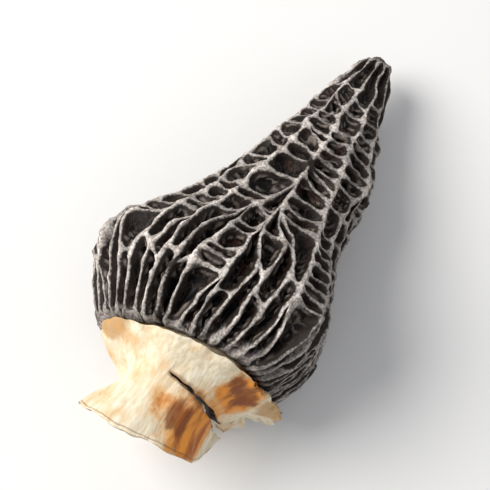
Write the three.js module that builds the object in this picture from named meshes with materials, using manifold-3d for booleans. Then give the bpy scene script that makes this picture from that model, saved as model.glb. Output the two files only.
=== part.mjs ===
// A dried black morel, laid on its side: a hollow conical cap with a raised net of ribs, on a short, hollow
// stem. Millimetres, +Z up. The tip points along +X, the cut end of the stem along -X, and the morel rests on
// z = 0.
//
// The morel is modelled upright, as it grew: its axis on +Z, the cut end of the stem at z = 0. A group then
// lays it down. Round the axis, turn 0 is the side that comes to lie on the surface, turn 0.5 the side that
// faces up, and turn 1 is turn 0 again.
import * as THREE from "three";
import { mergeVertices } from "three/addons/utils/BufferGeometryUtils.js";
import Module from "manifold-3d";

const wasm = await Module();
wasm.setup();

// ---- Driving dimensions -------------------------------------------------------------------------

const LENGTH = 52; // cut end of the stem to the tip
const BELLY_RADIUS = 13.3; // the cap's widest part, over the ribs
const PIT_DEPTH = 2.1; // at the belly, from a rib's crest to the floor of a pit
const PIT_SHARES = { rim: 0.6, tip: 0.5 }; // of that depth
const CREST_WIDTHS = { rim: 0.5, tip: 0.34 }; // thickness of a rib along its crest
const WALL_DRAFT = 0.3; // how much further in a pit's floor starts than its mouth
const FLESH = 1.1; // between the deepest pit's floor and the hollow inside
const MOUTH = 7.4; // radius of the cap's opening round the stem
const FITTING_GAP = 0.3; // between the cap and the stem that runs up into it

// The outside of the cap over its ribs, from the rim at the stem to the tip, as a radius in shares of
// BELLY_RADIUS and a height in shares of LENGTH.
const CAP_OUTLINE = [
  [0.735, 0.18],
  [0.85, 0.214],
  [0.945, 0.262],
  [1, 0.317],
  [0.985, 0.356],
  [0.9, 0.404],
  [0.75, 0.481],
  [0.63, 0.552],
  [0.535, 0.631],
  [0.45, 0.708],
  [0.365, 0.788],
  [0.25, 0.883],
  [0.165, 0.95],
  [0.08, 0.99],
  [0, 1],
];

// The stem's outer and inner radius, from its cut end up to the shoulder under the cap's rim.
const STEM_RINGS = [
  { share: 0, outer: 7.3, inner: 6.6 },
  { share: 0.08, outer: 7.15, inner: 6.1 },
  { share: 0.22, outer: 6.8, inner: 5.8 },
  { share: 0.4, outer: 6.6, inner: 5.5 },
  { share: 0.58, outer: 6.65, inner: 5.4 },
  { share: 0.74, outer: 7.2, inner: 5.4 },
  { share: 0.88, outer: 8.3, inner: 5.4 },
  { share: 1, outer: 9.2, inner: 5.4 },
];
const SHOULDER = CAP_OUTLINE[0][1] * LENGTH - FITTING_GAP; // where the stem's outside ends under the rim
const SPIGOT = { outer: MOUTH - FITTING_GAP, inner: 5.6, rise: 2.4 }; // the stem's end inside the cap
const STEM_COLUMNS = 40;
const FURROW_DEPTH = 0.22;

// The cut runs at a slant. Beside it a piece of the stem is torn off, and a tear runs on from there up the
// front.
const CUT_SLANT = { rise: 1.3, turn: 0.94 }; // highest at this turn
const CUT_RAGGED = 0.18;
const TORN_OFF = { from: 0.74, to: 0.97, height: 5 };
const TEAR = [
  { turn: 0.505, height: 6.1, width: 0.12 },
  { turn: 0.54, height: 5.8, width: 0.28 },
  { turn: 0.58, height: 5.5, width: 0.32 },
  { turn: 0.63, height: 5.2, width: 0.34 },
  { turn: 0.69, height: 5, width: 0.4 },
  { turn: 0.77, height: 5, width: 0.65 },
];
const FLAP = { turn: 0.775, height: 9, reach: 3.1, halfTurn: 0.085, halfHeight: 2.6 }; // turned outwards
const LUMP = { turn: 0.35, height: 8.7, reach: 0.9, halfTurn: 0.055, halfHeight: 1.5 };
const STEM_FOLDS = [
  { turn: 0.28, height: 5.4, reach: -3.4, halfTurn: 0.1, halfHeight: 2.4 }, // a waist on one side
  { turn: 0.43, height: 8.4, reach: -0.8, halfTurn: 0.02, halfHeight: 1.6 }, // a crease beside the lump
  { turn: 0.26, height: 0.5, reach: -1.2, halfTurn: 0.07, halfHeight: 1.5 }, // one corner of the cut end
];

// The net of ribs: lines that run from rim to tip, numbered round the axis, and rows that count from the rim
// up.
const LINES = 48;
const ROWS = 29;
const ROWS_REACH = 0.955; // how far up the outline the last row lies
const BELLY_ROWS = [4, 10]; // the pits are deepest between these
const MERGE_ROWS = 4.2; // a rib bends over to its neighbour along this many rows
const SWAY = 0.13; // how far a rib wanders, in lines
const ROW_SHIFT = 0.26; // how far a crossing is shifted along its rib, in rows
const CREST_WAVER = 0.16; // how much a rib's crest rises and falls
const LOWEST_RANK = 2;
const RIB_RANKS = [
  { ends: [ROWS, ROWS], drop: 0 }, // every fourth line reaches the tip
  { ends: [12, 19], drop: 0.08 }, // those half-way between stop in the upper part
  { ends: [5, 12], drop: 0.2 }, // the rest stop lower down
];
const RUNG_DROP = 0.55; // how far a cross wall sags below its ribs
const RIM_DROP = 0.75; // how far the rim sags between two ribs

// Cross walls join two ribs. Above the belly, and wherever two ribs run far apart, they follow each other
// like the rungs of a ladder. Elsewhere they are few and slant. gap is the least and most rows between two of
// them.
const RUNGS = [
  { row: 0, width: 2.3, gap: [1, 2], chance: 0.85, slants: 0.1 },
  { row: 15, width: 1.7, gap: [1, 2], chance: 0.7, slants: 0.1 },
  { row: 10, width: 1.3, gap: [2, 5], chance: 0.45, slants: 0.3 },
  { row: 0, width: 0, gap: [4, 8], chance: 0.25, slants: 0.6 },
];
const LEAST_RUNG = 1.1; // no cross wall where two ribs run closer together than this
const LEAST_SAGGING_RUNG = 1.6;
const LEAST_BEND = THREE.MathUtils.degToRad(14); // a rib's bend that is worth a crossing of its own

// How the morel dried: dented, bowed, its rim uneven, and pressed flat on the side that it lies on.
const DENTS = [
  { waves: 2, size: 0.018, phase: 0.6, twist: 2.2 },
  { waves: 3, size: 0.02, phase: 2.1, twist: -3.1 },
  { waves: 5, size: 0.014, phase: 4, twist: 5.3 },
];
const FOLDS = [
  { turn: 0.27, height: 18.5, reach: 2.2, halfTurn: 0.1, halfHeight: 5 }, // a shoulder
  { turn: 0.61, height: 20, reach: 1, halfTurn: 0.035, halfHeight: 9 }, // an edge along one side
  { turn: 0.7, height: 35.5, reach: 2.6, halfTurn: 0.06, halfHeight: 3.5 }, // a knee further up it
  { turn: 0.74, height: 22, reach: -2.6, halfTurn: 0.075, halfHeight: 11 }, // a flank fallen in beside it
];
const RIM_LIFT = { turn: 0.62, size: 1.9, top: 26 }; // the rim is higher on one side
const PRESSED = { from: 6.5, most: 4.6 }; // from here down it is pressed flat, within this thickness
const TIP_DROOP = 3.6; // the tip bends towards the surface
const SIDE_BOW = 0.7; // the middle bends sideways
const LYING_TILT = 3; // degrees that the tip lies lower than the stem
const WORN_DEPTH = 0.4; // the ribs' crests are worn flat by this much where the morel rests

const CAP_COLOUR = 0x2a2522;
const STEM_COLOUR = 0xe3d1ae;

// ---- Helpers ------------------------------------------------------------------------------------

const TURN = 2 * Math.PI;
const MODULUS = 4294967296;

// Repeatable draws from 0 to 1.
function makeRandom(seed) {
  let state = seed;
  return () => {
    state = (state * 1664525 + 1013904223) % MODULUS;
    return state / MODULUS;
  };
}

const mix = (a, b, share) => a + (b - a) * share;
const wrap = (line) => (line + LINES) % LINES;
const smooth = (share) => THREE.MathUtils.smoothstep(share, 0, 1);

// The short way round from one turn to another.
const turnStep = (from, to) => to - from - Math.round(to - from);

// A soft bump on the skin: how far it stands out at a turn and a height.
function bumpAt({ turn, height, reach, halfTurn, halfHeight }, atTurn, atHeight) {
  const across = turnStep(turn, atTurn) / halfTurn;
  const up = (atHeight - height) / halfHeight;
  return reach * Math.exp(-(across * across) - up * up);
}

// The cap's outline as a smooth curve, x the radius and y the height.
const capCurve = new THREE.SplineCurve(
  CAP_OUTLINE.map(([radius, height]) => new THREE.Vector2(radius * BELLY_RADIUS, height * LENGTH)),
);
const ROW_LENGTH = (capCurve.getLength() * ROWS_REACH) / ROWS;
const outlineAt = (row) => capCurve.getPointAt(THREE.MathUtils.clamp((row / ROWS) * ROWS_REACH, 0, 1));
const lineWidthAt = (row) => (TURN * outlineAt(row).x) / LINES;

// A point at a turn round the axis, with what drying did to the round shape.
function dried(turn, radius, height) {
  const angle = turn * TURN;
  const rise = height / LENGTH;
  let grown = radius;
  for (const fold of FOLDS) grown += (radius / BELLY_RADIUS) * bumpAt(fold, turn, height);
  for (const { waves, size, phase, twist } of DENTS)
    grown += radius * size * Math.cos(waves * angle + phase + twist * rise);
  const lifted = smooth(height / SHOULDER) * smooth((RIM_LIFT.top - height) / (RIM_LIFT.top - SHOULDER));
  const lift = RIM_LIFT.size * lifted * Math.cos((turn - RIM_LIFT.turn) * TURN);
  const down = grown * Math.cos(angle);
  const { from, most } = PRESSED;
  const pressed = down < from ? down : from + most * (1 - Math.exp((from - down) / most));
  return new THREE.Vector3(
    pressed + TIP_DROOP * rise * rise,
    grown * Math.sin(angle) - SIDE_BOW * Math.sin((rise * TURN) / 2),
    height + lift,
  );
}

// A point of the cap's outline after drying, and how far apart two of them are in one row.
function outlinePoint(line, row) {
  const { x, y } = outlineAt(row);
  return dried(line / LINES, x, y);
}
const widthBetween = (line, other, row) => outlinePoint(line, row).distanceTo(outlinePoint(other, row));

// Two triangles for each step between two rings of the same length, seen with ring a below ring b.
function band(a, b) {
  return a.flatMap((from, i) => {
    const j = (i + 1) % a.length;
    return [
      [from, a[j], b[j]],
      [from, b[j], b[i]],
    ];
  });
}

// Three triangles for each step between a ring and one with half as many points.
function bandToHalf(a, b) {
  return b.flatMap((from, i) => {
    const j = (i + 1) % b.length;
    const [start, middle, end] = [a[2 * i], a[2 * i + 1], a[(2 * i + 2) % a.length]];
    return [
      [start, middle, from],
      [middle, b[j], from],
      [middle, end, b[j]],
    ];
  });
}

// A solid from a closed surface.
function solidOfGeometry(geometry) {
  const bare = new THREE.BufferGeometry();
  bare.setAttribute("position", geometry.getAttribute("position"));
  bare.setIndex(geometry.index);
  const merged = mergeVertices(bare, 1e-4);
  return new wasm.Manifold(
    new wasm.Mesh({
      numProp: 3,
      vertProperties: merged.attributes.position.array,
      triVerts: new Uint32Array(merged.index.array),
    }),
  );
}

// A solid from a list of points and a list of triangles.
function solidOf(points, triangles) {
  return solidOfGeometry(new THREE.BufferGeometry().setFromPoints(points).setIndex(triangles.flat()));
}

const solidMoved = (solid, matrix) => solid.transform(matrix.elements);

function meshOf(name, solid, material) {
  const { vertProperties, triVerts } = solid.getMesh();
  const geometry = new THREE.BufferGeometry();
  geometry.setAttribute("position", new THREE.BufferAttribute(vertProperties, 3));
  geometry.setIndex(new THREE.BufferAttribute(triVerts, 1));
  geometry.computeVertexNormals();
  const mesh = new THREE.Mesh(geometry, material);
  mesh.name = name;
  return mesh;
}

// ---- The net of ribs ----------------------------------------------------------------------------

// Each crossing of the net has a line (round the axis), a row (up the cap) and a drop below the cap's
// outline. A wall joins two crossings.
function drawNet() {
  const random = makeRandom(29);
  const ribs = Array.from({ length: LINES }, (_, line) => {
    const rank = line % 4 === 0 ? 0 : line % 2 === 0 ? 1 : LOWEST_RANK;
    const [first, last] = RIB_RANKS[rank].ends;
    return {
      rank,
      end: first + Math.floor(random() * (last - first + 1)),
      side: random() < 0.5 ? -1 : 1,
      phases: [random() * TURN, random() * TURN],
      shifts: Array.from({ length: ROWS + 1 }, () => random() - 0.5),
      wavers: Array.from({ length: ROWS + 1 }, () => random() - 0.5),
    };
  });
  const crossings = [];
  const walls = [];
  const addCrossing = (line, row, drop) => crossings.push({ line, row, drop }) - 1;
  const isEdge = (row) => row === 0 || row === ROWS;

  // The line that a rib bends over to and joins: the next one, or the next but one, that outlasts it.
  const hostOf = (line) => line + ribs[line].side * (ribs[line].rank === LOWEST_RANK ? 1 : 2);

  // Where a rib runs at a row, before it bends over.
  function lineAt(line, row) {
    const [slow, quick] = ribs[wrap(line)].phases;
    return line + SWAY * (Math.sin(row * 0.4 + slow) + 0.6 * Math.sin(row * 0.95 + quick));
  }

  const chains = ribs.map((rib, line) => {
    const reachesTip = rib.rank === 0;
    const host = reachesTip ? line : hostOf(line);
    const hostDrop = RIB_RANKS[ribs[wrap(host)].rank].drop;
    return Array.from({ length: reachesTip ? ROWS + 1 : rib.end }, (_, row) => {
      const bent = reachesTip ? 0 : smooth(1 - (rib.end - row) / MERGE_ROWS);
      return addCrossing(
        mix(lineAt(line, row), lineAt(host, row), bent),
        row + (isEdge(row) ? 0 : 2 * ROW_SHIFT * rib.shifts[row]),
        mix(RIB_RANKS[rib.rank].drop, hostDrop, bent) + 2 * CREST_WAVER * rib.wavers[row],
      );
    });
  });
  chains.forEach((chain, line) => {
    chain.slice(1).forEach((node, i) => walls.push([chain[i], node]));
    if (ribs[line].rank > 0) walls.push([chain.at(-1), chains[wrap(hostOf(line))][ribs[line].end]]);
  });

  // A cross wall between two ribs. A long one, and each one on the rim, sags in the middle.
  function addRung(a, b, row) {
    const [from, to] = [crossings[a], crossings[b]];
    const across = lineStep(from, to);
    const width = widthBetween(from.line, to.line, row);
    if (width < LEAST_RUNG && !isEdge(row)) return;
    if (width < LEAST_SAGGING_RUNG && row > 0) {
      walls.push([a, b]);
      return;
    }
    const sag = row === 0 ? RIM_DROP : row === ROWS ? 0 : RUNG_DROP;
    const middle = addCrossing(
      from.line + across * (0.5 + 0.12 * (random() - 0.5)),
      mix(from.row, to.row, 0.5) + (isEdge(row) ? 0 : 0.3 * (random() - 0.3)),
      mix(from.drop, to.drop, 0.5) + sag,
    );
    walls.push([a, middle], [middle, b]);
  }

  // Row by row, between each rib that is there and the next one round.
  const since = new Array(LINES).fill(0);
  for (let row = 0; row <= ROWS; row++) {
    const there = ribs.map((_, line) => line).filter((line) => chains[line].length > row);
    there.forEach((line, i) => {
      const next = i + 1 < there.length ? there[i + 1] : there[0] + LINES;
      const between = Array.from({ length: next - line }, (_, step) => wrap(line + step));
      const gap = Math.min(...between.map((column) => since[column])) + 1;
      const width = widthBetween(line, next, row);
      const kind = RUNGS.find((rungs) => row >= rungs.row && width >= rungs.width);
      const { gap: [least, most], chance, slants } = kind;
      const chosen = gap >= most || (gap >= least && random() < chance);
      const kept = isEdge(row) || chosen;
      for (const column of between) since[column] = kept ? 0 : gap;
      if (!kept) return;
      const [left, right] = [chains[line], chains[wrap(next)]];
      const canSlant = !isEdge(row) && left.length > row + 1 && right.length > row + 1 && row + 1 < ROWS;
      const slant = canSlant && random() < slants ? Math.sign(random() - 0.5) : 0;
      addRung(left[row + (slant > 0 ? 1 : 0)], right[row + (slant < 0 ? 1 : 0)], row);
    });
  }
  return straightened({ crossings, walls }, chains.flat());
}

// The net without each second of the rib's crossings at which nothing joins and the rib hardly bends.
function straightened({ crossings, walls }, onRibs) {
  const around = crossings.map(() => new Set());
  for (const [a, b] of walls) {
    around[a].add(b);
    around[b].add(a);
  }
  const settled = new Set();
  for (const node of onRibs) {
    const [a, b] = around[node];
    if (around[node].size !== 2 || settled.has(node) || around[a].has(b)) continue;
    const [before, after] = [a, b].map((end) => {
      const { row } = crossings[end];
      return new THREE.Vector2(
        lineStep(crossings[node], crossings[end]) * lineWidthAt(row),
        (row - crossings[node].row) * ROW_LENGTH,
      );
    });
    if (Math.PI - before.angleTo(after) > LEAST_BEND) continue;
    for (const [end, other] of [[a, b], [b, a]]) {
      around[end].delete(node);
      around[end].add(other);
      settled.add(end);
    }
    around[node].clear();
  }
  const kept = crossings.map((_, node) => node).filter((node) => around[node].size > 0);
  const order = new Map(kept.map((node, i) => [node, i]));
  return {
    crossings: kept.map((node) => crossings[node]),
    walls: kept.flatMap((a) =>
      [...around[a]].filter((b) => a < b).map((b) => [order.get(a), order.get(b)]),
    ),
  };
}

// How far round the net it is from one crossing to another, the short way.
function lineStep(from, to) {
  const step = to.line - from.line;
  return step - LINES * Math.round(step / LINES);
}

// The loops between the walls, each a list of crossings: the pits, and the two loops that run round the
// cap.
function findLoops({ crossings, walls }) {
  const around = crossings.map(() => []);
  for (const [a, b] of walls) {
    around[a].push(b);
    around[b].push(a);
  }
  const heading = (a, b) =>
    Math.atan2(crossings[b].row - crossings[a].row, lineStep(crossings[a], crossings[b]));
  around.forEach((ends, node) => ends.sort((p, q) => heading(node, p) - heading(node, q)));
  const unused = new Set(walls.flatMap(([a, b]) => [`${a} ${b}`, `${b} ${a}`]));
  const loops = [];
  while (unused.size) {
    let [from, to] = unused.values().next().value.split(" ").map(Number);
    const loop = [];
    while (unused.delete(`${from} ${to}`)) {
      loop.push(from);
      const ends = around[to];
      const next = ends.at(ends.indexOf(from) - 1);
      [from, to] = [to, next];
    }
    loops.push(loop);
  }
  const stepFrom = (loop, i) => lineStep(crossings[loop[i]], crossings[loop[(i + 1) % loop.length]]);
  const winding = (loop) => loop.reduce((sum, _, i) => sum + stepFrom(loop, i), 0);
  const goesRound = loops.map((loop) => Math.abs(winding(loop)) > 1);
  return {
    pits: loops.filter((_, i) => !goesRound[i]),
    rim: loops.find((loop, i) => goesRound[i] && crossings[loop[0]].row < ROWS),
    crown: loops.find((loop, i) => goesRound[i] && crossings[loop[0]].row === ROWS),
  };
}

// ---- The cap ------------------------------------------------------------------------------------

// How deep a pit is at a row: shallow at the rim, deep at the belly, shallow again towards the tip.
function pitDepthAt(row) {
  const fromRim = mix(PIT_SHARES.rim, 1, smooth(row / BELLY_ROWS[0]));
  const toTip = mix(1, PIT_SHARES.tip, smooth((row - BELLY_ROWS[1]) / (ROWS - BELLY_ROWS[1])));
  return PIT_DEPTH * fromRim * toTip;
}

const crestWidthAt = (row) => mix(CREST_WIDTHS.rim, CREST_WIDTHS.tip, row / ROWS);

// A point of the cap's skin at a line and a row, sunk below the outline by a depth.
function skinPoint(line, row, depth) {
  const along = outlinePoint(line, row + 0.1).sub(outlinePoint(line, row - 0.1));
  const across = outlinePoint(line + 0.1, row).sub(outlinePoint(line - 0.1, row));
  const outwards = across.cross(along).normalize();
  return outlinePoint(line, row).addScaledVector(outwards, -depth);
}

// A loop's corners on a flat map in millimetres, as if the skin round the pit were unrolled, and the way
// back.
function mapOf(corners) {
  const middleRow = corners.reduce((sum, { row }) => sum + row, 0) / corners.length;
  const lineWidth = lineWidthAt(middleRow);
  return {
    flat: corners.map((c) => new THREE.Vector2(lineStep(corners[0], c) * lineWidth, c.row * ROW_LENGTH)),
    back: ({ x, y }) => [corners[0].line + x / lineWidth, y / ROW_LENGTH],
    middleRow,
  };
}

// How far a ray from a corner of a loop runs before it meets the other side.
function clearAhead(flat, corner, direction) {
  let nearest = Infinity;
  flat.forEach((a, i) => {
    const j = (i + 1) % flat.length;
    if (i === corner || j === corner) return;
    const side = flat[j].clone().sub(a);
    const offset = a.clone().sub(flat[corner]);
    const slope = direction.cross(side);
    if (Math.abs(slope) < 1e-9) return;
    const reach = offset.cross(side) / slope;
    const share = offset.cross(direction) / slope;
    if (reach > 0 && share >= 0 && share <= 1) nearest = Math.min(nearest, reach);
  });
  return nearest;
}

// The loop drawn in by a distance, but no corner further than a share of the way to the other side.
function drawnIn(flat, distance, most) {
  return flat.map((corner, i) => {
    const before = corner.clone().sub(flat.at(i - 1)).normalize();
    const after = flat[(i + 1) % flat.length].clone().sub(corner).normalize();
    const inwards = new THREE.Vector2(-before.y - after.y, before.x + after.x).normalize();
    const slant = Math.max(0.35, inwards.dot(new THREE.Vector2(-before.y, before.x)));
    const step = Math.min(distance / slant, most * clearAhead(flat, i, inwards));
    return corner.clone().addScaledVector(inwards, step);
  });
}

const doubleArea = (a, b, c) => b.clone().sub(a).cross(c.clone().sub(a));

// Triangles that fill a loop: its best-shaped corner is cut off again and again.
function filled(flat) {
  const left = flat.map((_, i) => i);
  const faces = [];
  while (left.length > 3) {
    let best = { worth: -Infinity };
    left.forEach((here, i) => {
      const face = [left.at(i - 1), here, left[(i + 1) % left.length]];
      const [a, b, c] = face.map((k) => flat[k]);
      const sides = [[a, b], [b, c], [c, a]];
      const isIn = (p) => sides.every(([from, to]) => doubleArea(from, to, p) >= 0);
      const blocked = left.some((k) => !face.includes(k) && isIn(flat[k]));
      const worth = doubleArea(a, b, c) / (a.distanceToSquared(c) + 1e-6) - (blocked ? 100 : 0);
      if (worth > best.worth) best = { worth, i, face };
    });
    faces.push(best.face);
    left.splice(best.i, 1);
  }
  return [...faces, left];
}

// The inside of the cap: rows whose ring lies under the pits' floors, and the row at its upper end.
const HOLLOW_ROWS = [2.5, 5, 8.5, 12.5, 17, 20.5];
const HOLLOW_TOP = 23.5;

function capSolid() {
  const random = makeRandom(5);
  const net = drawNet();
  const { crossings } = net;
  const { pits, rim, crown } = findLoops(net);
  const points = crossings.map(({ line, row, drop }) => skinPoint(line, row, drop));
  const triangles = [];
  const add = (point) => points.push(point) - 1;

  for (const loop of pits) {
    const corners = loop.map((node) => crossings[node]);
    const { flat, back, middleRow } = mapOf(corners);
    const crest = crestWidthAt(middleRow) / 2;
    const mouth = drawnIn(flat, crest, 0.22).map((p, i) =>
      add(skinPoint(...back(p), corners[i].drop + 0.06)),
    );
    const deep = mix(0.85, 1.06, random());
    const floorMap = drawnIn(flat, crest + WALL_DRAFT, 0.38);
    const floor = floorMap.map((p) => {
      const [line, row] = back(p);
      return add(skinPoint(line, row, deep * pitDepthAt(row)));
    });
    triangles.push(...band(loop, mouth), ...band(mouth, floor));
    triangles.push(...filled(floorMap).map((face) => face.map((i) => floor[i])));
  }

  // A small knob closes the cap above the last row.
  const knob = crown.map((node) => add(skinPoint(crossings[node].line, ROWS + 0.5, 0.15)));
  const tip = add(dried(0, 0, LENGTH));
  triangles.push(...band(crown, knob));
  triangles.push(...knob.map((node, i) => [node, knob[(i + 1) % knob.length], tip]));

  // The inside, from its mouth up, with a point for every other one on the rim.
  const ringOf = (pointAt) =>
    rim.filter((_, i) => i % 2 === 0).map((node) => add(pointAt(crossings[node].line)));
  const rimHeight = outlineAt(0).y;
  const rings = [
    ringOf((line) => dried(line / LINES, MOUTH, rimHeight)),
    ringOf((line) => dried(line / LINES, MOUTH, rimHeight + 1.2)),
    ...HOLLOW_ROWS.map((row) => ringOf((line) => skinPoint(line, row, pitDepthAt(row) + FLESH))),
  ];
  triangles.push(...bandToHalf(rim, rings[0]));
  rings.slice(1).forEach((ring, i) => triangles.push(...band(rings[i], ring)));
  const end = add(dried(0, 0, outlineAt(HOLLOW_TOP).y));
  triangles.push(...rings.at(-1).map((node, i, ring) => [node, ring[(i + 1) % ring.length], end]));
  return solidOf(points, triangles);
}

// ---- The stem -----------------------------------------------------------------------------------

// How high the cut end lies at a turn: slanting, a little ragged, and much higher where a piece is torn
// off.
function cutHeight(turn, ragged) {
  const { from, to, height } = TORN_OFF;
  const torn = smooth((turn - from) / 0.05) * smooth((to - turn) / 0.08);
  const slant = CUT_SLANT.rise * (Math.cos((turn - CUT_SLANT.turn) * TURN) + 1);
  return slant + height * torn + CUT_RAGGED * ragged * (1 + 2 * torn);
}

function stemSolid() {
  const random = makeRandom(23);
  const points = [];
  const triangles = [];
  const turns = Array.from({ length: STEM_COLUMNS }, (_, i) => i / STEM_COLUMNS);
  const ragged = turns.map(() => 2 * random() - 1);
  const furrows = turns.map((_, i) => (i % 2 ? -1 : 1) * FURROW_DEPTH * random());
  const ring = (pointAt) => turns.map((turn, i) => points.push(pointAt(turn, i)) - 1);

  const foldAt = (turn, height) => STEM_FOLDS.reduce((sum, fold) => sum + bumpAt(fold, turn, height), 0);
  const outer = STEM_RINGS.map(({ share, outer: radius }) =>
    ring((turn, i) => {
      const height = mix(cutHeight(turn, ragged[i]), SHOULDER, share);
      const turnedOut = bumpAt(FLAP, turn, height) + bumpAt(LUMP, turn, height) + foldAt(turn, height);
      return dried(turn, radius + turnedOut + furrows[i] * (1 - share), height);
    }),
  );
  const inner = STEM_RINGS.map(({ share, inner: radius }) =>
    ring((turn, i) => {
      const height = mix(cutHeight(turn, ragged[i]), SHOULDER, share);
      return dried(turn, radius + foldAt(turn, height), height);
    }),
  );
  const spigotTop = SHOULDER + SPIGOT.rise;
  const spigot = [
    ring((turn) => dried(turn, SPIGOT.outer, SHOULDER)),
    ring((turn) => dried(turn, SPIGOT.outer, spigotTop)),
    ring((turn) => dried(turn, SPIGOT.inner, spigotTop)),
  ];
  const round = [...outer, ...spigot, ...inner.reverse()];
  round.forEach((from, i) => triangles.push(...band(from, round[(i + 1) % round.length])));
  return solidOf(points, triangles).subtract(tearSolid());
}

// The tear as a thin curved blade, cut through the stem's wall from the torn-off piece up the front.
function tearSolid() {
  const [near, far] = [4, 12];
  const points = [];
  const sections = TEAR.map(({ turn, height, width }) =>
    [
      [near, -width],
      [far, -width],
      [far, width],
      [near, width],
    ].map(([radius, offset]) => points.push(dried(turn, radius, height + offset / 2)) - 1),
  );
  const [first, last] = [sections[0], sections.at(-1)];
  const triangles = [
    [first[0], first[1], first[2]],
    [first[0], first[2], first[3]],
    [last[0], last[2], last[1]],
    [last[0], last[3], last[2]],
  ];
  sections.slice(1).forEach((section, i) => triangles.push(...band(section, sections[i])));
  return solidOf(points, triangles);
}

// ---- The whole morel, laid down -----------------------------------------------------------------

function capMaterial() {
  return new THREE.MeshStandardMaterial({ color: CAP_COLOUR, roughness: 0.8, metalness: 0 });
}

function stemMaterial() {
  return new THREE.MeshStandardMaterial({ color: STEM_COLOUR, roughness: 0.7, metalness: 0 });
}

// The cap with its lowest crests worn flat along the surface that it rests on.
function wornCap(cap, lying) {
  const laid = solidMoved(cap, lying);
  const { min } = laid.boundingBox();
  const slab = new THREE.BoxGeometry(2 * LENGTH, 2 * LENGTH, LENGTH);
  slab.translate(0, 0, min[2] + WORN_DEPTH - LENGTH / 2);
  const ground = solidMoved(solidOfGeometry(slab), lying.clone().invert());
  return cap.subtract(ground);
}

function buildMorel() {
  const lying = new THREE.Matrix4().makeRotationY(TURN / 4 + THREE.MathUtils.degToRad(LYING_TILT));
  const cap = wornCap(capSolid(), lying);
  const stem = stemSolid();
  const morel = new THREE.Group();
  morel.name = "morel";
  morel.add(meshOf("cap", cap, capMaterial()), meshOf("stem", stem, stemMaterial()));
  morel.rotation.setFromRotationMatrix(lying);
  return morel;
}

// The part's origin lies on the surface, under the middle of the laid-down morel.
const group = new THREE.Group();
const morel = buildMorel();
group.add(morel);
const bounds = new THREE.Box3().setFromObject(group, true);
const middle = bounds.getCenter(new THREE.Vector3());
morel.position.set(-middle.x, -middle.y, -bounds.min.z);
export default group;
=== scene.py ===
# %% [markdown]
# # A dried black morel
#
# A morel is a hollow mushroom: a cone-shaped cap with a raised net of ribs, on a short pale stem. This one
# has dried. Its flesh has shrunk between the ribs, so that they stand up as thin, wavering edges, worn pale
# along their crests, and the pits between them have turned almost black.
#
# The solids that this script loads already have the net, the pits, the hollow inside and the tear in the
# stem, in flat facets. The lesson is how to turn such a solid into living skin: give it back its quads, let a
# Subdivision Surface round it, wrinkle it, and colour it by how high each point of it stands.

import math

import bpy
import numpy as np
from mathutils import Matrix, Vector, kdtree, noise


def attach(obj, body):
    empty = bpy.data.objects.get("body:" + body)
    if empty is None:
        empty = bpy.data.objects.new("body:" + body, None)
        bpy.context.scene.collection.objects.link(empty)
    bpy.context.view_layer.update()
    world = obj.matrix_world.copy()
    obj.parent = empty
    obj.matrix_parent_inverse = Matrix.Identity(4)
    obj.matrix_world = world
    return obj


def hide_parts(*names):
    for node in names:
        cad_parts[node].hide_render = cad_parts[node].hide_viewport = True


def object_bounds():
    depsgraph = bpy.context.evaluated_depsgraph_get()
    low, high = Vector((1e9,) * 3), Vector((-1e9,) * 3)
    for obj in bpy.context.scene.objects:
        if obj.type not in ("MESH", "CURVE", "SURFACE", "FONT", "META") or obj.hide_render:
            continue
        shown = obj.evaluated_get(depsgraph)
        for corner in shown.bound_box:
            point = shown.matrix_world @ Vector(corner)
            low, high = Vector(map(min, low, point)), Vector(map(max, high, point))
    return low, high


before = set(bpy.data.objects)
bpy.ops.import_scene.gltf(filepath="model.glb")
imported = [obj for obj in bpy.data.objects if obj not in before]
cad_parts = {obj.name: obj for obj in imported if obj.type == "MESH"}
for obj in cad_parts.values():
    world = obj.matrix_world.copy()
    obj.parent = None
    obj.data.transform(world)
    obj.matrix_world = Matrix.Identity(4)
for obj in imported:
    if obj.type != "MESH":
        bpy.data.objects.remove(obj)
cad_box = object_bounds()
MM = 0.001
low, high = (Vector(corner) for corner in cad_box)
size = high - low
print("the solids measure", [round(side / MM, 1) for side in size], "mm")

# %% [markdown]
# ## The stage
#
# A large plain sheet is enough of a stage for a thing that lies on its side and is looked down on. A curved
# backdrop would do too, but its bend would never come into view.

# %% Floor
FLOOR_SIZE = 6.0


def only(thing):
    """Selects one object and nothing else, because an operator acts on all that is selected."""
    bpy.ops.object.select_all(action="DESELECT")
    thing.select_set(True)
    bpy.context.view_layer.objects.active = thing


bpy.ops.object.select_all(action="DESELECT")
bpy.ops.mesh.primitive_plane_add(size=FLOOR_SIZE, location=(0, 0, 0))
floor = bpy.context.object
floor.name = "floor"
print("the floor is", FLOOR_SIZE, "m wide")

# %% [markdown]
# ## The camera
#
# The camera looks down on the morel, nearly square to its length, so that the cut end of the stem shows
# edge-on and the tip points up and to the right. It could be placed by eye. Here its distance is worked out
# from the solids, so that the morel always fills the same share of the frame. A long lens keeps the cone's
# taper true.

# %% Camera
AZIMUTH = math.radians(-58)
ELEVATION = math.radians(76)
LENS = 85
SENSOR = 36
FILL = 0.84  # the share of the frame that the morel takes up
NEAREST = 10 * MM  # nothing closer to the lens than this is drawn


def direction(azimuth, elevation):
    """The unit vector from the morel to a place seen at an azimuth and an elevation."""
    flat = math.cos(elevation)
    return Vector((math.sin(azimuth) * flat, -math.cos(azimuth) * flat, math.sin(elevation)))


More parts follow.
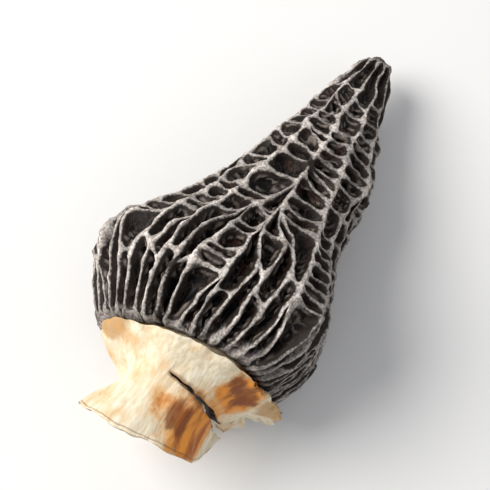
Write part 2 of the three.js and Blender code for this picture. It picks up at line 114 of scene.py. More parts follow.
backwards = direction(AZIMUTH, ELEVATION)
rightwards = Vector((math.cos(AZIMUTH), math.sin(AZIMUTH), 0))
upwards = backwards.cross(rightwards)
corners = [v.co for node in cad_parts.values() for v in node.data.vertices]
spans = {}
for name, way in (("right", rightwards), ("up", upwards)):
    reach = [corner.dot(way) for corner in corners]
    spans[name] = (min(reach), max(reach))
middle = (low + high) / 2
target = backwards * middle.dot(backwards)
target += rightwards * sum(spans["right"]) / 2 + upwards * sum(spans["up"]) / 2
frame_height = max(end - start for start, end in spans.values()) / FILL
distance = frame_height * LENS / SENSOR
camera_data = bpy.data.cameras.new("camera")
camera_data.lens = LENS
camera_data.sensor_width = SENSOR
camera_data.clip_start = NEAREST
camera = bpy.data.objects.new("camera", camera_data)
bpy.context.scene.collection.objects.link(camera)
camera.location = target + backwards * distance
camera.rotation_euler = (target - camera.location).to_track_quat("-Z", "Y").to_euler()
bpy.context.scene.camera = camera
print("camera at", [round(x / MM) for x in camera.location], "mm")

# %% [markdown]
# ## The light
#
# One large soft light stands at the upper left of the frame and fairly low, so that it grazes the skin and
# each rib throws a shadow into its pit. Light from straight above would fill the pits and flatten the net. A
# weak light opposite keeps the shaded flank from going flat black, and an even pale sky fills the rest.

# %% Lights
SKY_COLOUR = (0.93, 0.95, 1, 1)
SKY_STRENGTH = 0.45


def soft_light(name, azimuth, elevation, away, width, power, colour):
    """An area light that faces the morel."""
    data = bpy.data.lights.new(name, "AREA")
    data.shape = "DISK"
    data.size = width
    data.energy = power
    data.color = colour
    light = bpy.data.objects.new(name, data)
    bpy.context.scene.collection.objects.link(light)
    light.location = target + direction(math.radians(azimuth), math.radians(elevation)) * away
    light.rotation_euler = (target - light.location).to_track_quat("-Z", "Y").to_euler()
    print(name, "light of", power, "W at", [round(x / MM) for x in light.location], "mm")


soft_light("key", azimuth=-165, elevation=46, away=0.4, width=0.32, power=1.8, colour=(1, 0.98, 0.95))
soft_light("fill", azimuth=20, elevation=35, away=0.5, width=0.3, power=0.15, colour=(0.95, 0.97, 1))
world = bpy.data.worlds.new("sky")
bpy.context.scene.world = world
world.use_nodes = True
world.node_tree.nodes["Background"].inputs["Color"].default_value = SKY_COLOUR
world.node_tree.nodes["Background"].inputs["Strength"].default_value = SKY_STRENGTH
bpy.context.scene.view_settings.view_transform = "Standard"

# %% [markdown]
# ## A way to write materials
#
# A shader is arithmetic on what varies over a surface. It could be drawn as boxes and wires, but it reads
# best as arithmetic. `Value` wraps a socket and adds a Math node for each operator.

# %% Values
class Value:
    """A number that varies over a surface, or a colour or a direction that does."""

    def __init__(self, paint, socket):
        self.paint = paint
        self.socket = socket

    def math(self, operation, *others, clamp=False):
        return self.paint.math(operation, self, *others, clamp=clamp)

    def __add__(self, other): return self.math("ADD", other)
    def __radd__(self, other): return self.paint.math("ADD", other, self)
    def __sub__(self, other): return self.math("SUBTRACT", other)
    def __rsub__(self, other): return self.paint.math("SUBTRACT", other, self)
    def __mul__(self, other): return self.math("MULTIPLY", other)
    def __rmul__(self, other): return self.paint.math("MULTIPLY", other, self)
    def __truediv__(self, other): return self.math("DIVIDE", other)

    def limited(self):
        return self.math("ADD", 0, clamp=True)

    def between(self, start, end):
        """0 up to start, 1 from end on, and a smooth rise between them."""
        return self.paint.node(
            "ShaderNodeMapRange", {"interpolation_type": "SMOOTHSTEP"},
            {"Value": self, "From Min": start, "From Max": end, "To Min": 0, "To Max": 1}, "Result")


# %% [markdown]
# `Paint` holds one material. Its `node` adds a node of any kind, with its settings and inputs, and the other
# methods are short names for the few kinds that skin and flesh need.

# %% Paints
class Paint:
    """A material, made node by node."""

    def __init__(self, name):
        self.material = bpy.data.materials.new(name)
        self.material.use_nodes = True
        self.tree = self.material.node_tree
        self.shader = self.tree.nodes["Principled BSDF"]

    def node(self, kind, settings=None, inputs=None, output=0):
        node = self.tree.nodes.new(kind)
        for name, value in (settings or {}).items():
            setattr(node, name, value)
        for name, value in (inputs or {}).items():
            self.connect(node.inputs[name], value)
        return Value(self, node.outputs[output])

    def connect(self, socket, value):
        if isinstance(value, Value):
            self.tree.links.new(value.socket, socket)
        else:
            socket.default_value = value

    def math(self, operation, *values, clamp=False):
        settings = {"operation": operation, "use_clamp": clamp}
        return self.node("ShaderNodeMath", settings, dict(enumerate(values)))

    def attribute(self, name):
        return self.node("ShaderNodeAttribute", {"attribute_name": name}, output="Fac")

    def place(self, stretch=(1, 1, 1)):
        """Object coordinates in millimetres, stretched along the axes."""
        at = self.node("ShaderNodeTexCoord", output="Object")
        scale = tuple(1 / (MM * along) for along in stretch)
        return self.node("ShaderNodeMapping", {}, {"Vector": at, "Scale": scale})

    def noise(self, grain, stretch=(1, 1, 1), detail=3, roughness=0.55, distortion=0):
        """Noise from 0 to 1 whose features measure about a grain, in millimetres."""
        return self.node(
            "ShaderNodeTexNoise", {},
            {"Vector": self.place(stretch), "Scale": 1 / grain, "Detail": detail, "Roughness": roughness,
             "Distortion": distortion}, "Fac")

    def near(self, centre, reach):
        """1 at a place in millimetres, 0 from a reach away from it, and less than 0 beyond."""
        away = self.node("ShaderNodeVectorMath", {"operation": "DISTANCE"},
                         {0: self.place(), 1: centre}, "Value")
        return 1 - away / reach

    def mixed(self, share, a, b):
        """A colour that goes from a to b."""
        node = self.tree.nodes.new("ShaderNodeMix")
        node.data_type = "RGBA"
        sockets = {s.identifier: s for s in node.inputs}
        self.connect(sockets["Factor_Float"], share)
        self.connect(sockets["A_Color"], a)
        self.connect(sockets["B_Color"], b)
        return Value(self, next(s for s in node.outputs if s.identifier == "Result_Color"))

    def bump(self, height, depth, strength):
        """A normal from a height of 0 to 1 that stands for a depth in millimetres."""
        inputs = {"Height": height, "Distance": depth * MM, "Strength": strength}
        return self.node("ShaderNodeBump", {}, inputs, "Normal")

    def finish(self, **inputs):
        for name, value in inputs.items():
            self.connect(self.shader.inputs[name.replace("_", " ")], value)
        print(self.material.name, "has", len(self.tree.nodes), "nodes")
        return self.material


def colour(hex_code):
    """A colour as it looks on a screen, turned into the light that Blender counts in."""
    channels = [int(hex_code[i : i + 2], 16) / 255 for i in (1, 3, 5)]
    return tuple(c / 12.92 if c <= 0.04045 else ((c + 0.055) / 1.055) ** 2.4 for c in channels) + (1,)


# %% [markdown]
# ## The floor's colour
#
# The floor is pale and not quite white, so that the light can still fall off across it and show the soft
# shadow under the morel. On pure white that shadow would burn out.

# %% Floor material
def floor_material():
    paint = Paint("pale floor")
    return paint.finish(Base_Color=colour("#f1f0ee"), Roughness=0.9)


floor.data.materials.append(floor_material())

# %% [markdown]
# ## Skin from facets
#
# A solid arrives as loose triangles. Its copy is first merged into one surface. Pairs of triangles are then
# joined back into the quads that they were cut from, because Subdivision Surface makes long smooth folds
# along rows of quads and lumps on triangles. A fresh sculpt could be smoother still, but it would drift away
# from the solid, which carries the morel's true shape.

# %% Copy a solid
JOIN = 2e-6  # metres; points closer than this are one
FLAT_ANGLE = math.radians(38)  # two triangles that bend more than this stay apart
SQUARE_ANGLE = math.radians(120)  # how far a quad's corners may stray from square


def skin_from(node, name):
    """A merged copy of a solid, in quads where its triangles pair up."""
    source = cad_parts[node]
    mesh = source.data.copy()
    mesh.materials.clear()
    skin = bpy.data.objects.new(name, mesh)
    bpy.context.scene.collection.objects.link(skin)
    only(skin)
    bpy.ops.object.mode_set(mode="EDIT")
    bpy.ops.mesh.select_all(action="SELECT")
    bpy.ops.mesh.customdata_custom_splitnormals_clear()
    bpy.ops.mesh.remove_doubles(threshold=JOIN)
    bpy.ops.mesh.tris_convert_to_quads(face_threshold=FLAT_ANGLE, shape_threshold=SQUARE_ANGLE)
    bpy.ops.object.mode_set(mode="OBJECT")
    print(name, "has", len(mesh.vertices), "points and", len(mesh.polygons), "faces")
    return skin


def points_of(mesh, what="co"):
    """The places, or the normals, of a mesh's points, as rows of an array."""
    flat = np.empty(len(mesh.vertices) * 3, np.float32)
    mesh.vertices.foreach_get(what, flat)
    return flat.reshape(-1, 3).astype(float)


cap = skin_from("cap", "morel_cap")
stem = skin_from("stem", "morel_stem")

# %% [markdown]
# ## Which way is out
#
# The morel is bent, so no straight line runs through its middle. The skin is cut into slices along its
# length, and a smooth curve through their middles serves as the axis. What points away from it is outside,
# and what points back to it lines the hollow.

# %% Axis
SLICE_ENDS = 12
BENDS = 3  # the degree of the curve
TINY = 1e-9  # keeps a division from failing where a length is nothing


def axis_of(points):
    """The middle line of the morel: y and z as smooth curves of x."""
    steps = np.linspace(points[:, 0].min(), points[:, 0].max(), SLICE_ENDS)
    middles = []
    for start, end in zip(steps, steps[1:]):
        ring = points[(points[:, 0] >= start) & (points[:, 0] <= end)]
        middles.append([(start + end) / 2, *((ring[:, 1:].min(0) + ring[:, 1:].max(0)) / 2)])
    middles = np.array(middles)
    return [np.polyfit(middles[:, 0], middles[:, k], BENDS) for k in (1, 2)]


def outwards_of(points, axis):
    """Unit vectors that point away from the axis."""
    away = points.copy()
    away[:, 0] = 0
    for k, curve in zip((1, 2), axis):
        away[:, k] -= np.polyval(curve, points[:, 0])
    return away / np.maximum(np.linalg.norm(away, axis=1, keepdims=True), TINY)


axis = axis_of(points_of(cap.data))
print("at its middle the axis lies", round(float(np.polyval(axis[1], middle.x)) / MM, 1), "mm up")

# %% [markdown]
# ## How high the skin stands
#
# The colour of a dried morel follows its relief: pale on the crests, black in the pits. So each point learns
# how high it stands among its neighbours, 0 on a pit's floor and 1 on a crest. The distance from the axis
# would tell that only on a round cone. So each point compares heights along the average normal of the skin
# near it, and the slope and the dents of the cone don't count.

# %% Relief
NEAR = 2.6 * MM  # how far a point looks for its neighbours
TURNED_IN = -0.25  # the cosine between a normal and the way out, below which it faces the hollow
KEY_LIGHT_SIDE = np.array([0, 0.6, 0.8])  # the side that faces the key light: crests there are painted paler, as painted light


def store(mesh, name, values):
    """Keeps one number for each point of a mesh, for the materials and for later steps."""
    attribute = mesh.attributes.get(name) or mesh.attributes.new(name, "FLOAT", "POINT")
    attribute.data.foreach_set("value", np.asarray(values, np.float32))


def measure_relief(mesh):
    """Each point's height among its neighbours, how much they differ, how the skin leans, what is outside."""
    points, normals = points_of(mesh), points_of(mesh, "normal")
    leans = outwards_of(points, axis)
    outer = (normals * leans).sum(1) > TURNED_IN
    tree = kdtree.KDTree(len(points))
    for i, point in enumerate(points):
        tree.insert(point, i)
    tree.balance()
    relief = np.zeros(len(points))
    span = np.full(len(points), TINY)
    for i in np.flatnonzero(outer):
        near = [j for _, j, _ in tree.find_range(points[i], NEAR) if outer[j]]
        lean = normals[near].mean(0)
        leans[i] = lean / max(np.linalg.norm(lean), TINY)
        heights = (points[near] - points[i]) @ leans[i]
        span[i] = max(heights.max() - heights.min(), span[i])
        relief[i] = -heights.min() / span[i]
    return relief, span, leans, outer


relief, span, leans, outer = measure_relief(cap.data)
store(cap.data, "relief", relief)
store(cap.data, "inside", ~outer)
# Painted light: how far the skin faces the key light, which paints the crests paler there and darker on the
# shaded flank.
store(cap.data, "flank", leans @ KEY_LIGHT_SIDE)
print("high points:", int((relief > 0.8).sum()), "floors:", int(((relief < 0.2) & outer).sum()))

# %% [markdown]
# ## Where the crests run
#
# A rib's crest is thinner than any relief can tell. But on the solid, a point on a crest is the only kind
# that has nothing but level ground around it: every other point of the net touches the steep wall of a pit.
# Where two ribs meet at a point, even a crest's own faces are steep, but none of them leads down to a floor.
# And the ribs run out over the rim, whose lower side turns in to the hollow, so there only height tells.

# %% Crests
LEVEL = 0.45  # the cosine between a crest's ground and the way the skin faces there
LOWEST_CREST = 0.35  # the relief of the lowest crest
LOWEST_BESIDE = 0.55  # the neighbours of a meeting of ribs stand higher than this
STEP = 0.35  # the most that a meeting steps up or down to them, as a share of the relief round it
RIM_CREST = 0.8  # on the rim, all that stands higher than this is a crest
TOPMOST = 0.96  # and elsewhere, what stands higher than this and has no crest
ALONE = 0.75 * MM  # within this reach


def on_rim(mesh):
    """Marks each outside point that shares a face with a point of the hollow."""
    rim = np.zeros(len(mesh.vertices), bool)
    for corners in (list(face.vertices) for face in mesh.polygons):
        if not outer[corners].all():
            rim[corners] = outer[corners]
    return rim


def find_crests(mesh):
    """Marks each point that stands high and from which no wall leads down."""
    points = points_of(mesh)
    steepest = np.ones(len(points))
    for face in mesh.polygons:
        corners = list(face.vertices)
        steepest[corners] = np.minimum(steepest[corners], leans[corners] @ np.array(face.normal))
    step, lowest = np.zeros(len(points)), relief.copy()
    for a, b in (edge.vertices for edge in mesh.edges):
        for end in (a, b):
            step[end] = max(step[end], abs((points[b] - points[a]) @ leans[end]))
        lowest[[a, b]] = np.minimum(lowest[[a, b]], min(relief[a], relief[b]))
    level = (steepest > LEVEL) & (relief > LOWEST_CREST)
    meeting = (step < STEP * span) & (lowest > LOWEST_BESIDE)
    crests = (level | meeting | on_rim(mesh) & (relief > RIM_CREST)) & outer
    return crests | missed_by(crests, points)


def missed_by(crests, points):
    """Marks the topmost points with no crest beside them: there the skin folds too sharply to be level."""
    tree = kdtree.KDTree(int(crests.sum()))
    for i in np.flatnonzero(crests):
        tree.insert(points[i], i)
    tree.balance()
    alone = np.zeros(len(points), bool)
    for i in np.flatnonzero(outer & (relief > TOPMOST) & ~crests):
        alone[i] = tree.find(points[i])[2] > ALONE
    print("points on sharp folds:", int(alone.sum()))
    return alone


crests = find_crests(cap.data)
store(cap.data, "rim", on_rim(cap.data))
store(cap.data, "crest", crests)
print("points on crests:", int(crests.sum()))

# %% [markdown]
# ## Which way the crests run
#
# The long ribs stand highest and are worn palest. The rungs between them sag, and stay darker. Both are
# crests, but a rib runs along the morel and a rung runs across it, so the direction of a crest's edges tells
# one from the other.

# %% Ribs and rungs
ALONG_RIM = 0.65  # the ribs' ends at the rim count as something between a rib and a rung


def runs_along(mesh, crests):
    """How far each crest runs along the morel: 1 on a rib, less in the middle of a rung."""
    points = points_of(mesh)
    along = np.zeros(len(points))
    for a, b in (edge.vertices for edge in mesh.edges):
        if crests[a] and crests[b]:
            step = points[b] - points[a]
            along[[a, b]] = np.maximum(along[[a, b]], abs(step[0]) / max(np.linalg.norm(step), TINY))
    return np.where(on_rim(mesh), ALONG_RIM, along)


along = runs_along(cap.data, crests)
store(cap.data, "along", along)
print("points on ribs:", int((along[crests] > 0.9).sum()))

# %% [markdown]
# ## One face for each pit's floor
#
# A floor arrives cut up into slivers, and Subdivision Surface would show every one of them as a pucker. So
# the edges that lie inside a floor are dissolved. The floor becomes one many-sided face, which rounds into a
# dimple. Merging its points would do away with the slivers too, but would pull the walls out of place.

# %% Dissolve the edges inside the floors
FLOOR_BELOW = 0.75  # no point of a floor stands higher than this
FLOOR_LEVEL = 0.6  # the cosine between a floor and the way the skin faces there


def faces_of_edges(mesh):
    """The two faces beside each edge."""
    beside = {tuple(sorted(edge.vertices)): [] for edge in mesh.edges}
    for face in mesh.polygons:
        for key in face.edge_keys:
            beside[tuple(sorted(key))].append(face.index)
    return np.array([beside[tuple(sorted(edge.vertices))][:2] for edge in mesh.edges])


def normals_of_faces(mesh):
    flat = np.empty(len(mesh.polygons) * 3, np.float32)
    mesh.polygons.foreach_get("normal", flat)
    return flat.reshape(-1, 3).astype(float)


def select_edges(thing, chosen):
    """Leaves the piece in edit mode with these edges selected."""
    only(thing)
    bpy.ops.object.mode_set(mode="EDIT")
    bpy.ops.mesh.select_mode(type="EDGE")
    bpy.ops.mesh.select_all(action="DESELECT")
    bpy.ops.object.mode_set(mode="OBJECT")
    thing.data.edges.foreach_set("select", chosen.tolist())
    bpy.ops.object.mode_set(mode="EDIT")


def is_floor(mesh):
    """Marks each face that has only low outside points and lies level."""
    below = (relief < FLOOR_BELOW) & ~crests & outer
    faces = normals_of_faces(mesh)
    return np.array([below[list(f.vertices)].all() and leans[f.vertices[0]] @ faces[f.index] > FLOOR_LEVEL
                     for f in mesh.polygons])


floors = is_floor(cap.data)[faces_of_edges(cap.data)].all(axis=1)
select_edges(cap, floors)
bpy.ops.mesh.dissolve_edges(use_verts=False)
bpy.ops.object.mode_set(mode="OBJECT")
print(int(floors.sum()), "edges dissolved,", len(cap.data.polygons), "faces left")

# %% [markdown]
# ## The tear and the cut
#
# The stem was cut off and has torn. The walls of the tear are painted nearly black, a painted shade for the
# deep crack, and the faces of the cut are painted tan. The faces that stand across the flesh are found while
# they are still large and flat, and keep their marks when they are divided later.

# %% Mark the tear and the cut
ACROSS = 0.45  # the cosine between a face and the way out, below which it stands across the flesh
TEAR_FROM, TEAR_TO = 3.6 * MM, 8 * MM  # how far the tear lies from the furthest point of the cut end
TEAR_SIDE = 1 * MM  # the y that the tear stays below
TEAR_TOP = 0.1  # the least upward part of the way out where the tear runs
CUT_FACING = -0.6  # the most of a cut face's normal along the morel: it faces away from the tip


def find_cuts(mesh):
    """Marks the faces of the tear's walls and of the cut end, and the points beside them."""
    points, normals = points_of(mesh), normals_of_faces(mesh)
    centres = np.array([face.center for face in mesh.polygons])
    out = outwards_of(centres, axis_of(points))
    rise = centres[:, 0] - points[:, 0].min()
    across = np.abs((normals * out).sum(1)) < ACROSS
    on_side = (out[:, 2] > TEAR_TOP) & (centres[:, 1] < TEAR_SIDE)
    tear = across & (rise > TEAR_FROM) & (rise < TEAR_TO) & on_side
    cut = across & (rise < TEAR_FROM) & (normals[:, 0] < CUT_FACING)
    for name, chosen in (("torn", tear), ("cut", cut)):
        marks = mesh.attributes.new(name, "FLOAT", "FACE")
        marks.data.foreach_set("value", chosen.astype(np.float32))
        print(int(chosen.sum()), "faces are", name)
        beside = np.zeros(len(points))
        beside[[v for face in mesh.polygons if chosen[face.index] for v in face.vertices]] = 1
        store(mesh, "beside " + name, beside)


find_cuts(stem.data)

# %% [markdown]
# ## Round it
#
# Subdivision Surface turns the flat facets into folds: the thin walls become blades with a rounded crest, and
# the pits between them become smooth dimples. What each point learned is carried over to the new points. A
# crease keeps the cap's rim and the stem's torn and cut edges crisp. A Bevel would do that too, with many
# more faces.

# %% Subdivide
RIM_ANGLE = 30  # degrees between two faces, above which the edge between them stays crisp
STEM_ANGLE = 50


def sharp_edges(mesh, angle):
    """Marks the edges where two faces meet at more than an angle."""
    a, b = normals_of_faces(mesh)[faces_of_edges(mesh)].transpose(1, 0, 2)
    return (a * b).sum(1) < math.cos(math.radians(angle))


def recall(mesh, name):
    """One number for each point, as it was kept before."""
    values = np.empty(len(mesh.vertices), np.float32)
    mesh.attributes[name].data.foreach_get("value", values)
    return values.astype(float)


def rim_edges(mesh):
    """Marks the edges round the rim, where the outside of the cap turns in to the hollow."""
    ends = np.array([list(edge.vertices) for edge in mesh.edges])
    return recall(mesh, "rim")[ends].min(axis=1).astype(bool) & sharp_edges(mesh, RIM_ANGLE)


def creased(thing, chosen, strength):
    """Keeps edges crisp through the rounding."""
    select_edges(thing, chosen)
    bpy.ops.transform.edge_crease(value=strength)
    bpy.ops.object.mode_set(mode="OBJECT")


def rounded(thing, levels):
    only(thing)
    modifier = thing.modifiers.new("rounding", "SUBSURF")
    modifier.levels = modifier.render_levels = levels
    bpy.ops.object.modifier_apply(modifier=modifier.name)
    print(thing.name, "now has", sum(len(p.vertices) - 2 for p in thing.data.polygons), "triangles")


stem_edges = sharp_edges(stem.data, STEM_ANGLE)
on_edge = np.zeros(len(stem.data.vertices))
on_edge[np.array([list(e.vertices) for e in stem.data.edges])[stem_edges]] = 1
store(stem.data, "edge", on_edge)
creased(cap, rim_edges(cap.data), strength=0.6)
creased(stem, stem_edges, strength=0.75)
rounded(cap, levels=2)
rounded(stem, levels=3)

# %% [markdown]
# ## Wrinkle it
#
# Flesh that dries doesn't shrink evenly. A rib wavers from side to side and its crest is knobbly, the walls
# of the pits pucker, and the stem creases. All that could be sculpted by hand, one fold at a time. A Displace
# modifier does it by rule: it moves each point by a cloudy texture that fills space, and a vertex group says
# how strongly each point follows it. Noise of the size of the points' own spacing would only look rough, so
# anything finer is left to the materials.

# %% Wrinkles
FRINGE = -9 * MM  # beyond this, the flap's edge is frayed
WEIGHTS = 10  # how many different weights a group holds


def make_group(thing, name, weights):
    """A vertex group with a weight of 0 to 1 for each point, in even steps."""
    group = thing.vertex_groups.new(name=name)
    steps = np.round(np.clip(weights, 0, 1) * WEIGHTS).astype(int)
    for step in range(1, WEIGHTS + 1):
        group.add(np.flatnonzero(steps == step).tolist(), step / WEIGHTS, "REPLACE")


def displaced(thing, group, grain, depth, way="NORMAL", layers=1):
    """Moves the points of a group by clouds of one grain, both in millimetres."""
    texture = bpy.data.textures.new(f"{thing.name} {group}", "CLOUDS")
    texture.cloud_type = "GRAYSCALE" if way == "NORMAL" else "COLOR"
    texture.noise_scale = grain * MM
    texture.noise_depth = layers
    only(thing)
    modifier = thing.modifiers.new(texture.name, "DISPLACE")
    modifier.texture = texture
    modifier.texture_coords = "LOCAL"
    modifier.direction = way
    modifier.vertex_group = group
    modifier.mid_level = 0.5
    modifier.strength = depth * MM
    bpy.ops.object.modifier_apply(modifier=modifier.name)
    print(group, "of", thing.name, "moved by up to", round(depth / 2, 2), "mm each way")


on_crest = recall(cap.data, "crest")
outside = 1 - np.clip(recall(cap.data, "inside"), 0, 1)
make_group(cap, "ribs", recall(cap.data, "relief") * outside)
make_group(cap, "crests", on_crest * outside)
make_group(cap, "pit walls", (1 - on_crest) * outside)
displaced(cap, "ribs", grain=2.6, depth=0.7, way="RGB_TO_XYZ")
displaced(cap, "ribs", grain=0.9, depth=0.25, way="RGB_TO_XYZ")
displaced(cap, "crests", grain=0.8, depth=0.45)
displaced(cap, "pit walls", grain=1.3, depth=0.45, layers=2)
on_edge = recall(stem.data, "edge")
make_group(stem, "skin", np.ones(len(stem.data.vertices)))
make_group(stem, "edges", on_edge)
make_group(stem, "fringe", on_edge * (points_of(stem.data)[:, 1] < FRINGE))
displaced(stem, "skin", grain=3.5, depth=0.6)
displaced(stem, "edges", grain=1.3, depth=0.4, way="RGB_TO_XYZ")
displaced(stem, "fringe", grain=0.9, depth=1.1, way="RGB_TO_XYZ")

# %% [markdown]
# ## Teeth on the walls
#
# Short ridges climb the walls of a pit towards its ribs, one after another like the teeth of a comb. Clouds
# can't make anything so regular. So a wave along the morel lifts the points, but only on the walls, and noise
# sways it and lets it fade out here and there.

# %% Teeth
TOOTH_EVERY = 0.95 * MM
TOOTH_HEIGHT = 0.35 * MM
TOOTH_FOOT = (0.05, 0.35)  # the relief over which a tooth rises out of the floor
TOOTH_TOP = (0.7, 0.95)  # and over which it fades out below the crest
SWAY, SWAY_GRAIN = 1.3, 2.2 * MM  # how far a tooth strays, in teeth, and over what distance
USUAL_STRENGTH = 0.75
PATCHY, PATCH_GRAIN = 1.3, 3 * MM  # how much that varies, and over what distance
ELSEWHERE = Vector((7, 3, 5))  # a place in the noise that has nothing to do with the sway


def rising(values, start, end):
    """0 up to start, 1 from end on, and a straight rise between them."""
    return np.clip((values - start) / (end - start), 0, 1)


def teeth_on(mesh):
    """How high a tooth stands at each point, from 0 to 1."""
    heights = np.zeros(len(mesh.vertices))
    stands = recall(mesh, "relief")
    wall = rising(stands, *TOOTH_FOOT) * (1 - rising(stands, *TOOTH_TOP))
    wall *= np.clip(1 - 2 * recall(mesh, "crest"), 0, 1) * (1 - np.clip(recall(mesh, "inside") * 2, 0, 1))
    for i, point in enumerate(points_of(mesh)):
        if wall[i] > 0:
            sway = noise.noise(Vector(point) / SWAY_GRAIN) * SWAY
            strong = USUAL_STRENGTH + noise.noise(Vector(point) / PATCH_GRAIN + ELSEWHERE) * PATCHY
            ridge = math.cos(math.tau * (point[0] / TOOTH_EVERY + sway))
            heights[i] = wall[i] * min(max(strong, 0), 1) * max(ridge, 0) ** 2
    return heights


def placed(mesh, points):
    """Puts a mesh's points at these places."""
    mesh.vertices.foreach_set("co", points.astype(np.float32).ravel())
    mesh.update()


teeth = teeth_on(cap.data)
placed(cap.data, points_of(cap.data) + points_of(cap.data, "normal") * (teeth * TOOTH_HEIGHT)[:, None])
store(cap.data, "teeth", teeth)
print(int((teeth > 0.5).sum()), "points stand on teeth")

# %% [markdown]
# ## Keep it within the solid
#
# Displacing can push a point out past the solid. Nothing of the skin may stand outside the solid's own box,
# on which other things rest or pass by. Scaling the skin down would move all of it, so only the few points
# that stand out are brought back.

# %% Keep within the solid's box
def kept_within(thing, node):
    limits = points_of(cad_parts[node].data)
    points = points_of(thing.data)
    inside = np.clip(points, limits.min(0), limits.max(0))
    placed(thing.data, inside)
    print(int((inside != points).any(axis=1).sum()), "points of", thing.name, "brought back")


kept_within(cap, "cap")
kept_within(stem, "stem")

# %% [markdown]
# ## Smooth shading
#
# Skin has no facets. The faces are small enough by now for smooth shading alone to hide them, and the folds
# are rounded in the mesh itself, so no edge needs to be kept sharp.

# %% Shade smooth
for piece in (cap, stem):
    only(piece)
    bpy.ops.object.shade_smooth()
    print(piece.name, "is smooth")

# %% [markdown]
# ## The cap's colours
#
# The pits are nearly black, dark brown where the flesh is thin, and the fine puckers on their floors are
# painted lighter, a painted highlight where they would catch the light. The walls are a shade lighter, and
# paler again along their teeth. The crests are worn to a pale, warm grey line, palest on the long ribs,
# darker on the rungs, on the rim and round the tip. On the side that faces the key light they are painted
# paler
# still, and on the shaded flank darker: painted light and shade. Where the hollow shows, its lining is cream.
# All that could be painted by hand on an unfolded skin. But each point has already learned how high it stands
# and what it is, and a mask made of that fits every rib by itself.

# %% Cap material
PIT_BLACK = colour("#070505")
THIN_BROWN = colour("#3a1e13")
WALL_BROWN = colour("#2b241f")
TOOTH_GREY = colour("#8d8178")
PUCKER_HIGHLIGHT = colour("#6a5d54")
WORN_GREY = colour("#aa9d93")
WORN_WHITE = colour("#f3ece5")
LINING_TAN = colour("#b9a27c")
LINING_CREAM = colour("#e2d2b2")
TIP_REACH = 3.5  # millimetres
tip = tuple(max(points_of(cap.data), key=lambda point: point[0]) / MM)


def cap_material():
    paint = Paint("dried cap")
    relief = paint.attribute("relief")
    inside = paint.attribute("inside").between(0.8, 1)
    wear = paint.noise(2.2, detail=3)
    grain = paint.noise(0.3, detail=3)
    # How far a crest is rubbed pale: by its kind, and less at the rim and the tip. Painted light on top of
    # that:
    # paler on the side that faces the key light, darker on the shaded flank.
    bare_and_lit = paint.attribute("along").between(0.3, 0.9) * 0.6 + relief.between(0.5, 0.95) * 0.4
    bare_and_lit = bare_and_lit * (0.45 + 0.55 * (paint.attribute("flank") + (wear - 0.5) * 0.6).between(-0.35, 0.35))
    at_tip = paint.near(tip, TIP_REACH).between(0.1, 0.5)
    bare_and_lit = bare_and_lit * (1 - 0.5 * paint.attribute("rim")) * (1 - 0.75 * at_tip)
    crest = (paint.attribute("crest") + (grain - 0.5) * 0.5 + (wear - 0.5) * 0.3).between(0.12, 0.46)
    # The skin below the crests, from the floors up.
    wall = (relief + (grain - 0.5) * 0.4).between(0.3, 1)
    thin = paint.noise(1.8, detail=3).between(0.52, 0.68)
    skin = paint.mixed(wall, paint.mixed(thin, PIT_BLACK, THIN_BROWN), WALL_BROWN)
    skin = paint.mixed(paint.attribute("teeth").between(0.12, 0.68) * 0.7, skin, TOOTH_GREY)
    # Fine lines where a cloudy noise crosses its middle value.
    puckers = (1 - (paint.noise(1.5, detail=2, distortion=0.8) - 0.5).math("ABSOLUTE") * 14).limited()
    crest = crest * (1 - at_tip * (0.35 + 0.5 * puckers))
    puckers = puckers * (1 - wall)
    # Painted highlight: the puckers on the pit floors are painted lighter, where they would catch the light.
    skin = paint.mixed(puckers * 0.32, skin, PUCKER_HIGHLIGHT)
    worn = paint.mixed(grain.between(0.35, 0.65), WORN_GREY, WORN_WHITE)
    outside = paint.mixed(crest * (0.3 + 0.7 * bare_and_lit) * (0.6 + 0.4 * wear.between(0.35, 0.6)), skin, worn)
    lining = paint.mixed(wear, LINING_TAN, LINING_CREAM)
    height = grain * 0.5 + paint.noise(0.12, detail=2) * 0.3 + puckers * 1.5
    return paint.finish(
        Base_Color=paint.mixed(inside, outside, lining),
        Specular_IOR_Level=0.22,
        Roughness=0.62 + 0.2 * crest,
        Normal=paint.bump(height, depth=0.1, strength=0.6),
    )


cap.data.materials.append(cap_material())

# %% [markdown]
# ## The stem's colours
#
# Dried stem flesh is cream, with fine fibres that run along it. Handling and drying leave rusty stains,
# strongest beside the tear, with brown bruises in them. The lump is painted a darker tan, partly its own tan
# and partly painted shade, and the end of the flap is painted tan. Inside the tear the walls are painted
# dark, with a brown border, as painted shade in the crack, and a thin brown line of painted shade runs a
# little way off the cut.
# Noise alone would put stains anywhere, so each has a centre and a reach, and noise only frays its border.

# %% Stem material
STAINS = [  # where each stain is, in millimetres, and how far it reaches
    ((-22.0, -6.6, 15.5), 4.6),
    ((-20.3, -8.0, 14.5), 3.2),
    ((-16.9, -9.0, 14.6), 3.6),
]
BRUISES = [((-22.0, -4.9, 16.5), 2.1), ((-16.3, -9.2, 14.6), 2.9)]  # below the tear, and beside it
TAN_AND_SHADE = [((-15.0, 6.2, 14.5), 4.4), ((-15.5, -13.0, 11.0), 3.4)]  # the lump, its own tan and painted shade, and the end of the flap
FLESH_TAN = colour("#dfcfac")
FLESH_CREAM = colour("#f4ead2")
STREAK_TAN = colour("#c9ab78")
DARK_TAN = colour("#b98a4e")
STAIN_YELLOW = colour("#e6a856")
RUST_ORANGE = colour("#f09a34")
RUST_BROWN = colour("#b0611e")
BRUISE_BROWN = colour("#74390f")
SHADE_BROWN = colour("#8a5a2c")
CUT_TAN = colour("#a57a48")
TEAR_SHADE = colour("#2c190c")


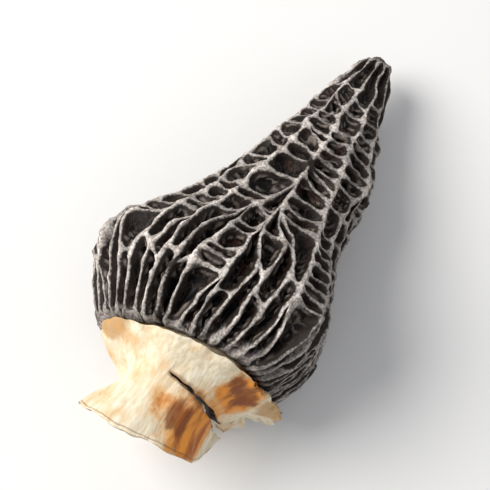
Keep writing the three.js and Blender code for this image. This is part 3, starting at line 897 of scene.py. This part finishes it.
def stem_material():
    paint = Paint("dried stem")
    fibres = paint.noise(0.45, stretch=(7, 1, 1), detail=4)
    streaks = paint.noise(1.4, stretch=(4, 1, 1), detail=3)
    blotch = paint.noise(3.2, detail=4, roughness=0.6)
    flesh = paint.mixed(fibres.between(0.3, 0.7), FLESH_TAN, FLESH_CREAM)
    flesh = paint.mixed(streaks.between(0.55, 0.75) * 0.5, flesh, STREAK_TAN)
    stain = (blotch - 0.5) * 1.2
    for centre, reach in STAINS:
        spot = paint.near(centre, reach) + (blotch - 0.5) * 1.8 + (fibres - 0.5) * 0.4
        stain = stain.math("MAXIMUM", spot)
    # The lump is painted a darker tan, partly its own tan and partly painted shade; the end of the flap is
    # painted tan.
    for centre, reach in TAN_AND_SHADE:
        tan = paint.near(centre, reach) * 2 + (blotch - 0.5) * 1.2
        flesh = paint.mixed(tan.between(0, 0.5) * 0.8, flesh, DARK_TAN)
    flesh = paint.mixed(stain.between(-0.1, 0.4) * 0.8, flesh, STAIN_YELLOW)
    rust = paint.mixed(streaks.between(0.4, 0.62), RUST_ORANGE, RUST_BROWN)
    flesh = paint.mixed(stain.between(0.1, 0.55), flesh, rust)
    for centre, reach in BRUISES:
        bruise = paint.near(centre, reach) * 1.4 + (streaks - 0.5) * 2.6
        flesh = paint.mixed(bruise.between(0.2, 0.8) * 0.75, flesh, BRUISE_BROWN)
    # Painted shade: a brown line that keeps a little way off the cut, neither on its edge nor far from it,
    # and a brown border along the tear.
    beside_cut = paint.attribute("beside cut")
    shade_line = beside_cut.between(0.4, 0.52) * (1 - beside_cut.between(0.58, 0.7)) * (0.3 + 0.6 * blotch)
    shade_line = shade_line.math("MAXIMUM", paint.attribute("beside torn").between(0.6, 1) * 0.7)
    flesh = paint.mixed(shade_line, flesh, SHADE_BROWN)
    flesh = paint.mixed(paint.attribute("cut") * (0.3 + 0.4 * fibres), flesh, CUT_TAN)
    # The walls of the tear are painted nearly black: painted shade for the deep crack.
    return paint.finish(
        Base_Color=paint.mixed(paint.attribute("torn"), flesh, TEAR_SHADE),
        Roughness=0.65,
        Normal=paint.bump(fibres * 0.6 + streaks * 0.4, depth=0.25, strength=0.8),
    )


stem.data.materials.append(stem_material())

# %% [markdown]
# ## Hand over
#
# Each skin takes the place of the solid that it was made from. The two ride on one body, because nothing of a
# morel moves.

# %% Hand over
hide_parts("cap")
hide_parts("stem")
for piece, slot in ((cap, "cap_flesh"), (stem, "stem_flesh")):
    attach(piece, "root")
